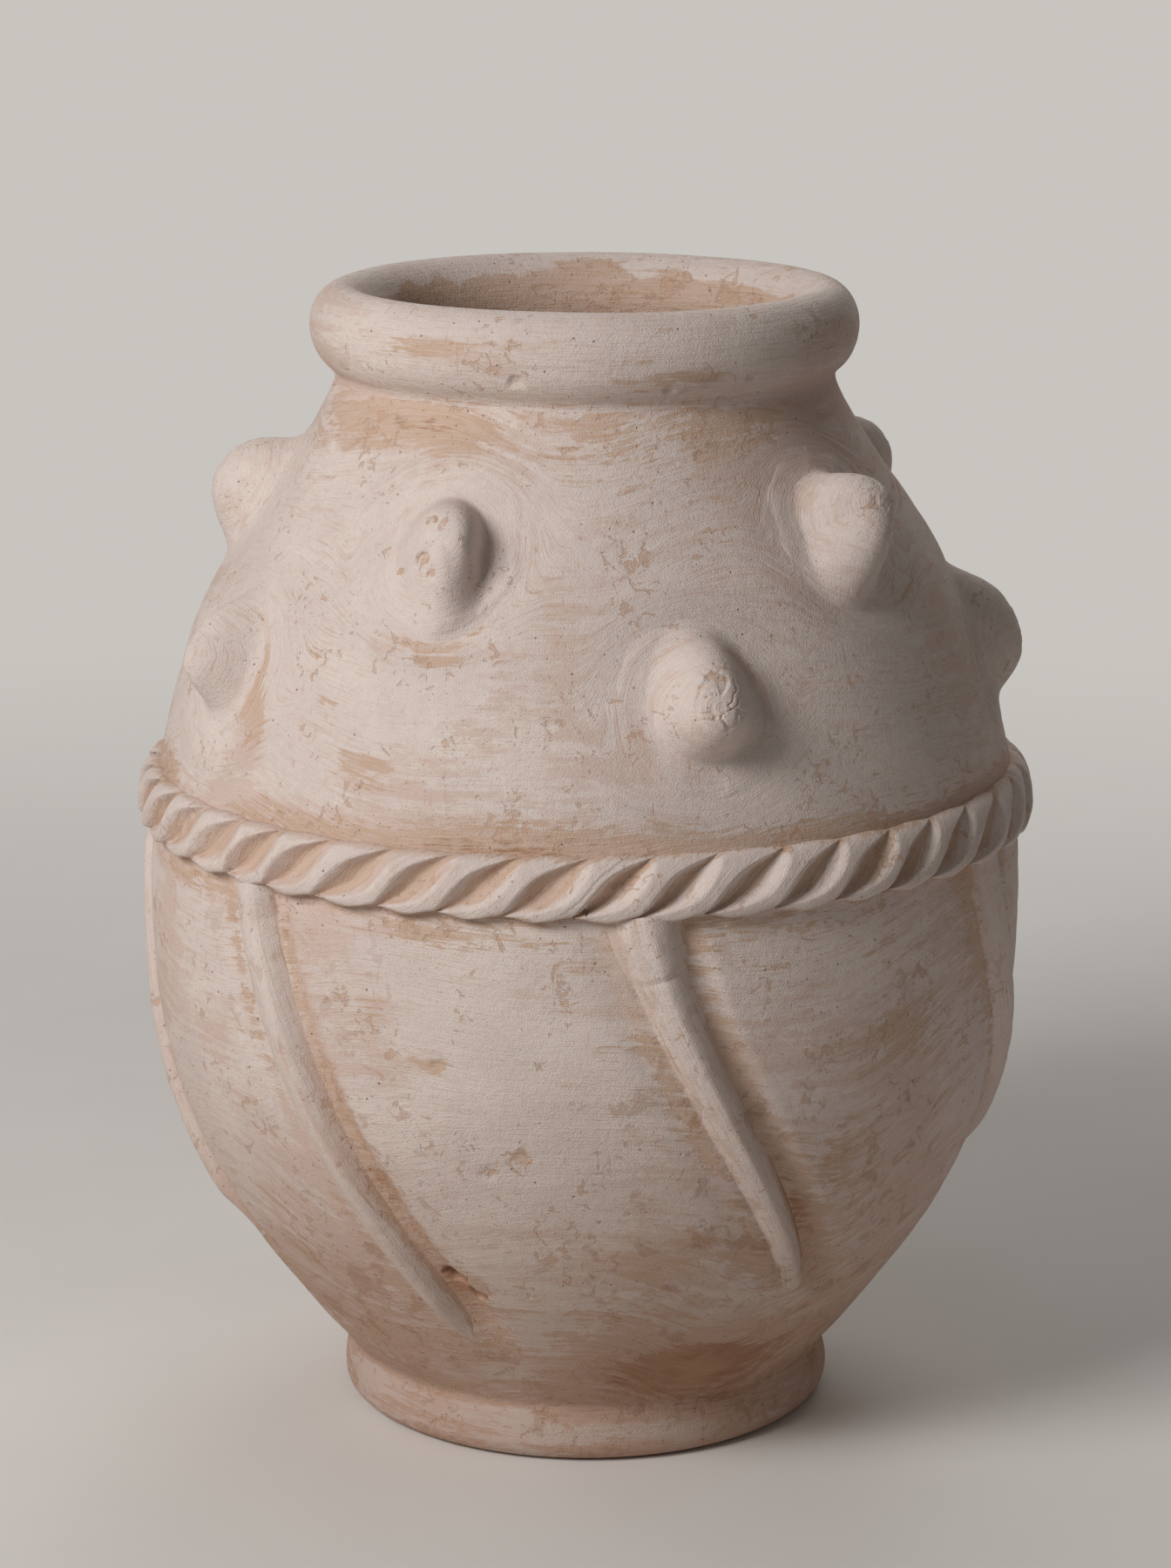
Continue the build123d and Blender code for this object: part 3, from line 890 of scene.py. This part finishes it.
rope_azimuth = np.arange(rope_steps) * 360 / rope_steps
front = np.linspace(np.pi / 2, -np.pi / 2, front_points)
rope_rise, rope_level, rope_leaf = pressed_rope(rope_azimuth[:, None], front)
rope_ridge = np.cos(2 * np.pi * (lay_of_rope(rope_azimuth[:, None], rope_level)[1] - hollow_middle - 0.5))
rope_width = rope_half * np.where(rope_level > 0, 1.10 + 0.03 * rope_ridge, 1.00 + 0.09 * rope_ridge)
rope_front_along = rope_along + rope_level * rope_width
rope_proud = np.maximum(rope_rise - rope_bed, -rope_edge_bed)
rope_front = place(rope_front_along, rope_azimuth[:, None], rope_proud)
rope_front += 0.00016 * clay_noise(rope_front, 0.006, 12)[..., None] * (rope_front * (1, 1, 0) / 0.2)
rope_facing = -facing(rope_front.transpose(1, 0, 2)).transpose(1, 0, 2)
back_level = np.linspace(-0.9, 0.9, back_points)
rope_back = place(rope_along + back_level * rope_half, rope_azimuth[:, None], -rope_back_bed)
rope_grid = np.concatenate([rope_front, rope_back], axis=1)
rope_normals = np.concatenate([rope_facing, np.zeros_like(rope_back)], axis=1)
rope_edge = ramp(rope_level, 0.72, 0.98) + ramp(rope_level, -0.86, -0.98)
rope_bare = -0.08 + 0.24 * rope_leaf**0.7 + 0.15 * rope_edge
rope_bare = np.concatenate([rope_bare, np.full(rope_back.shape[:2], back_wear)], axis=1)
rope_lay, rope_across = lay_of_rope(rope_azimuth[:, None], np.concatenate([rope_level, back_level]))
rope_stroke = (rope_lay + rope_across) * 0.028
sections = rope_steps // rope_lengths
for number in range(rope_lengths):
    rows = np.arange(number * sections, (number + 1) * sections + 1) % rope_steps
    length = lay_skin(f"pressed_rope_{number + 1}", rope_grid[rows], rope_bare[rows], rope_stroke[rows],
                      rope_normals[rows], capped=True)
    fit(length, f"rope_length_{number + 1}", wall_finish)

# Knobs
# Lumps of clay pressed on the wall in two rows and drawn out to blunt cones, with their skirts smeared into the
# wall by a wet brush that went round and round. Their tips are wrinkled where the fingers let go.
knob_reach = 0.044          # radius over which a knob is smeared out, and where it begins to run out into the wall
knob_fade = 0.034
knob_soft = 0.0042          # softness of the fillet at its foot
skirt_height = 0.0014       # of the low skirt round it, and the skirt's half width
skirt_half = 0.024
knob_rings = 64
knob_spokes = 200
back_sunk = 0.004           # how deep the backs of knobs and ribs lie in the wall
nailed_knob = 0             # number of the knob with marks of nails, and of the one that is wrinkled most
wrinkled_knob = 5
# Each knob's height, radius and bluntness, how far it leans right and up and spreads up and down, and how far its
# lower end runs to the left
knob_forms = [
    (0.0226, 0.0190, 3.6, 0.50, -0.08, 1.25, 1.85, -0.22),
    (0.0250, 0.0216, 3.0, 0.17, 0.00, 1.18, 1.52, 0.40),
    (0.0240, 0.0215, 2.6, 0.00, 0.00, 1.20, 1.30, 0.00),
    (0.0240, 0.0212, 2.8, 0.08, -0.05, 1.20, 1.35, 0.00),
    (0.0242, 0.0226, 2.5, 0.00, 0.00, 1.20, 1.30, 0.00),
    (0.0215, 0.0205, 2.8, 0.07, -0.12, 1.70, 0.98, 0.00),
    (0.0182, 0.0215, 2.8, 0.00, 0.00, 1.60, 1.15, 0.00),
    (0.0212, 0.0208, 2.6, -0.08, 0.00, 1.50, 1.05, 0.00),
    (0.0210, 0.0214, 2.5, 0.05, -0.05, 1.55, 1.00, 0.00),
    (0.0214, 0.0176, 2.3, 0.00, -0.04, 1.85, 1.15, 0.00),
]
nail_marks = [              # aside, up and radius of the curved marks that fingernails left on the front knob
    (-0.0070, 0.0080, 0.0024),
    (-0.0065, -0.0090, 0.0026),
    (-0.0010, -0.0150, 0.0015),
    (-0.0160, -0.0115, 0.0012),
]


def knob_shape(aside_way, up_way, tall, dome, blunt, spread, skew):
    """Height of a knob over the wall: a round dome, smoothed into the wall by a soft fillet, on a low wide skirt.
    It is spread upwards and downwards by two shares, and one that is spread far downwards runs out in a straight
    slope. The distance from its middle, so spread, comes last."""
    reach = np.hypot(aside_way - skew * np.minimum(up_way, 0), up_way / np.where(up_way > 0, *spread))
    below = ramp(-up_way / np.hypot(aside_way, up_way), 0.1, 0.9) * ramp(spread[1], 1.2, 1.9)
    cone = (tall - skirt_height) * (1 - (reach / dome) ** (blunt + (1.7 - blunt) * below))
    fillet = knob_soft * np.log1p(np.exp(cone / knob_soft))
    skirt = skirt_height * bell(reach, skirt_half)
    edge = ramp(np.hypot(aside_way, up_way), knob_fade, knob_reach)
    return (fillet + skirt) * (1 - edge) - 0.0005 * edge, reach


def knob_at(name, number):
    """A knob: rings of points over its seat, raised straight out of the wall and pushed to the side it leans to,
    then creased, ringed by the brush and feathered at its edge, and closed by a back that follows the wall."""
    seat = knob_seats[number]
    tall, dome, blunt, lean_right, lean_up, *spread, skew = knob_forms[number]
    turn = np.linspace(0, 2 * np.pi, knob_spokes, endpoint=False)
    reach = np.linspace(knob_reach, 0.0004, knob_rings)[:, None]
    aside_way, up_way = reach * np.cos(turn), reach * np.sin(turn)
    along = seat[0] + up_way
    azimuth = seat[1] + np.degrees(aside_way / radius_at(along))
    height, fall = knob_shape(aside_way, up_way, tall, dome, blunt, spread, skew)
    seated = place(along, azimuth, worked_wall(along, azimuth))
    seat_turn = np.radians(seat[1])
    outwards = np.array([np.sin(seat_turn), -np.cos(seat_turn), 0.0])
    rightwards = np.array([np.cos(seat_turn), np.sin(seat_turn), 0.0])
    inward_way, up_wall = (np.interp(seat[0], outline_along, way) for way in outline_way.T)
    upwards = outwards * inward_way + (0, 0, up_wall)
    straight = outwards * up_wall - (0, 0, inward_way)
    top = seated + (straight + rightwards * lean_right + upwards * lean_up) * height[..., None]
    wrinkled = 0.0009 if number == wrinkled_knob else 0.0004
    folded = np.stack([aside_way + 0.7 * up_way, up_way - 0.5 * aside_way, height], axis=-1)
    folded = folded + 0.003 * clay_noise(folded, 0.006, 20)[..., None]
    folds = np.minimum(np.abs(clay_noise(folded, (0.0075, 0.0042, 0.01), 14)) * 3, 1)
    tip = ramp(fall + 0.002 * clay_noise(top, 0.006, 21), 0.0115, 0.0085)
    creases = wrinkled * (folds - 0.7) * tip
    lumps = 0.0006 * clay_noise(top, 0.014, 19)
    brush_way = np.stack([fall, turn * 0.002 + 0 * fall, 0 * fall], axis=-1)
    rings = 0.00014 * clay_noise(brush_way, (0.0018, 0.004, 1), 15)
    ragged = clay_noise(np.stack([np.cos(turn), np.sin(turn), 0 * turn], axis=-1), 0.45, 22 + number)
    inside = 0.0365 + 0.0025 * ragged - reach
    feather = ramp(inside, -0.0005, 0.0007) * np.exp(-np.maximum(inside, 0) / 0.006)
    feather = 0.0004 * (feather * ramp(ragged, -0.1, 0.4))
    touched = creases + lumps + rings + feather
    marked = 0.0
    if number == nailed_knob:
        touched = lumps + rings + feather
        for over, up, radius in nail_marks:
            from_mark = np.hypot(aside_way - over, up_way - up)
            open_side = ramp(up_way - up, -0.9 * radius, -0.3 * radius)
            nail = bell(from_mark - radius, 0.0007) * open_side
            touched = touched - 0.0010 * nail
            marked = marked + 0.22 * nail + 0.13 * ramp(from_mark, radius, 0)
    top += straight * (touched * ramp(reach, knob_reach, 0.040))[..., None]
    back_reach = np.linspace(0.004, knob_reach - 0.001, 5)[:, None]
    back_along = seat[0] + back_reach * np.sin(turn)
    back_azimuth = seat[1] + np.degrees(back_reach * np.cos(turn) / radius_at(back_along))
    back = place(back_along, back_azimuth, -back_sunk)
    patchy = clay_noise(top, 0.02, 16)
    knobbed = ramp(fall, 0.030, 0.022)
    bare = wall_bare(along, azimuth, top[..., 2]) * (1 - knobbed) + knobbed * (-0.035 + 0.04 * patchy + marked)
    bare = bare + 60 * wrinkled * (1.2 - folds) * tip
    bare = np.concatenate([np.full(back.shape[:2], back_wear), bare])
    stroke = np.concatenate([np.zeros(back.shape[:2]), from_knob(along, azimuth, seat) + knob_stroke(seat)])
    return lay_skin(name, np.concatenate([back, top]), bare, stroke, capped=True)


knob_nodes = [f"upper_knob_{number + 1}" for number in range(len(upper_knobs))]
knob_nodes += [f"lower_knob_{number + 1}" for number in range(len(lower_knobs))]
for number, node in enumerate(knob_nodes):
    fit(knob_at(f"drawn_{node}", number), node, wall_finish)

# Ribs
# Strips of clay laid slanting down the belly from under the rope and stroked on with a finger, which pressed a
# groove along the right side. The wash lies thick on their crests, and clay shows along both edges.
rib_relief = 0.0066
rib_sections = 150
rib_end = 1.06              # where a rib is gone, a little past its tail, as a part of its way down
rib_points = 44             # points across a rib's front, and across its back
rib_back_points = 4
rib_reach = 1.25            # from a rib's middle to the edge of its front, as a part of its half width
cap_share = 0.15            # part of the first rib that is a separate upright cap


def rib_at(name, number):
    """A rib: a rounded ridge carried along its way down the wall, lower and narrower towards its tail. Its section
    is 1 less a power of the distance from its crest. The first has an upright cap at its head."""
    capped_rib = number == 0
    share = np.linspace(0.0, rib_end, rib_sections)[:, None]
    height = rib_head + 0.0015 - (rib_head - rib_tails[number]) * share
    along = along_at(height)
    azimuth = rib_azimuths[number] + rib_drifts[number] * share**rib_bend
    ahead = np.gradient(along[:, 0])
    drift = np.gradient(np.radians(azimuth[:, 0])) * radius_at(along[:, 0])
    slant = np.arctan2(drift, -ahead)[:, None]
    half = half_rib(share) * ramp(share, 1.08, 1.0)
    tall = rib_relief * (1 - 0.20 * share) * ramp(share, rib_end, 0.93)
    if capped_rib:
        half = half + 0.0042 * ramp(share, cap_share + 0.05, 0.02)
        tall = tall + 0.0007 * ramp(share, cap_share + 0.01, cap_share - 0.01)
        tall = tall - 0.0012 * bell(share - cap_share, 0.006)
    side = np.linspace(rib_reach, -rib_reach, rib_points)
    across = side * half
    spot_along = along + across * np.sin(slant)
    spot_azimuth = azimuth + np.degrees(across * np.cos(slant) / radius_at(along))
    crest = 0.05 if capped_rib else 0.25
    flank = (side - crest) / (1.05 - crest * np.sign(side - crest))
    steep = np.where(flank > 0, 1.5 if capped_rib else 2.1, 1.5)
    crown = np.clip(1 - np.abs(flank) ** steep, 0, 1) ** 1.05
    proud = tall * crown - 0.0006 * ramp(np.abs(side), 1.0, rib_reach)
    front = place(spot_along, spot_azimuth, worked_wall(spot_along, spot_azimuth) + proud)
    lumps = 0.0003 * clay_noise(front, 0.014, 17) + 0.00012 * clay_noise(front, 0.004, 18)
    outwards = front * (1, 1, 0) / np.linalg.norm(front[..., :2], axis=-1)[..., None]
    front += outwards * (lumps * crown)[..., None]
    back_side = np.linspace(-1.1, 1.1, rib_back_points) * half
    back_azimuth = azimuth + np.degrees(back_side * np.cos(slant) / radius_at(along))
    back = place(along + back_side * np.sin(slant), back_azimuth, -back_sunk)
    grid = np.concatenate([front, back], axis=1)
    edge = ramp(np.abs(side), 0.5, 1.1)
    bare = wall_bare(spot_along, spot_azimuth, front[..., 2]) * edge - 0.05 * (1 - edge)
    bare = bare + 0.05 * ramp(share, 0.9, 1.05)
    bare = np.concatenate([bare, np.full(back.shape[:2], back_wear)], axis=1)
    stroke = np.concatenate([across, back_side], axis=1) + 0.2
    return lay_skin(name, grid, bare, stroke, capped=True)


for number in range(len(rib_tails)):
    rib = rib_at(f"stroked_rib_{number + 1}", number)
    fit(rib, f"rib_{number + 1}", wall_finish)

# Stage
# A plain pale floor that fades out into a pale room, in the soft light of one large lamp at the left and of a
# weaker one behind. The camera stands in front, a little above the jar.
floor_half = 3.0
floor_fade = (0.5, 1.8)     # radius where the floor begins to fade, and where it ends
floor_paint = ((232, 228, 223), (228, 223, 218))
room_paint = (200, 196, 191)
room_light = (236, 232, 228)
room_strength = 0.15        # of the light that the room throws on the jar
lamps = [                   # name, spot, width and power of each square lamp
    ("left_lamp", (-1.28, -1.28, 1.40), 0.8, 30.0),
    ("back_lamp", (0.35, 1.75, 1.55), 1.3, 13.0),
]
camera_spot = (0.0, -1.9432, 0.7608)
camera_dip = np.radians(13.69)  # how far the camera looks down
camera_lens = 100.0         # focal length and film width in millimetres
camera_film = 36.0

floor_mesh = bpy.data.meshes.new("pale_floor")
floor_corners = floor_half * np.array([(-1, -1, 0), (1, -1, 0), (1, 1, 0), (-1, 1, 0)])
floor_mesh.from_pydata(floor_corners.tolist(), [], [(0, 1, 2, 3)])
ground = bpy.data.objects.new("pale_floor", floor_mesh)
bpy.context.scene.collection.objects.link(ground)
floor_finish, floor_spot = start_finish("pale_floor_paint")
floor_reach = floor_spot.node("ShaderNodeVectorMath", {"operation": "LENGTH"}, {0: floor_spot}, output="Value")
floor_tone = floor_spot.noise(6.0).within(0.2, 0.8).tint(shade(*floor_paint[0]), shade(*floor_paint[1]))
end_finish(floor_spot, floor_tone, 0.9, floor_spot.noise(400.0) * 0.05, 1 - floor_reach.within(*floor_fade))
floor_mesh.materials.append(floor_finish)


def lamp(name, spot, aim, width, power):
    """A square soft lamp that shines from a spot towards an aim."""
    light = bpy.data.lights.new(name, "AREA")
    light.size = width
    light.energy = power
    holder = bpy.data.objects.new(name, light)
    holder.location = spot
    holder.rotation_euler = (aim - holder.location).to_track_quat("-Z", "Y").to_euler()
    bpy.context.scene.collection.objects.link(holder)


jar_middle = (cad_box[0] + cad_box[1]) / 2
for name, spot, width, power in lamps:
    lamp(name, spot, jar_middle, width, power)
room = bpy.data.worlds.new("pale_room")
room.use_nodes = True
room.node_tree.nodes.clear()
room_spot = Wash(room.node_tree)
seen_rays = [f"Is {kind} Ray" for kind in ("Camera", "Glossy", "Transmission")]
seen = sum(room_spot.node("ShaderNodeLightPath", output=ray) for ray in seen_rays)
unseen_room = room_spot.node("ShaderNodeBackground", {}, {"Color": shade(*room_light), "Strength": room_strength})
seen_room = room_spot.node("ShaderNodeBackground", {}, {"Color": shade(*room_paint), "Strength": 1.0})
room_mix = room_spot.node("ShaderNodeMixShader", {}, {0: seen, 1: unseen_room, 2: seen_room})
room_spot.node("ShaderNodeOutputWorld", {}, {"Surface": room_mix})
bpy.context.scene.world = room

lens = bpy.data.cameras.new("front_camera")
lens.lens = camera_lens
lens.sensor_width = camera_film
camera = bpy.data.objects.new("front_camera", lens)
camera.location = camera_spot
camera.rotation_euler = (np.pi / 2 - camera_dip, 0.0, 0.0)
bpy.context.scene.collection.objects.link(camera)
bpy.context.scene.camera = camera
bpy.context.scene.view_settings.view_transform = "Standard"
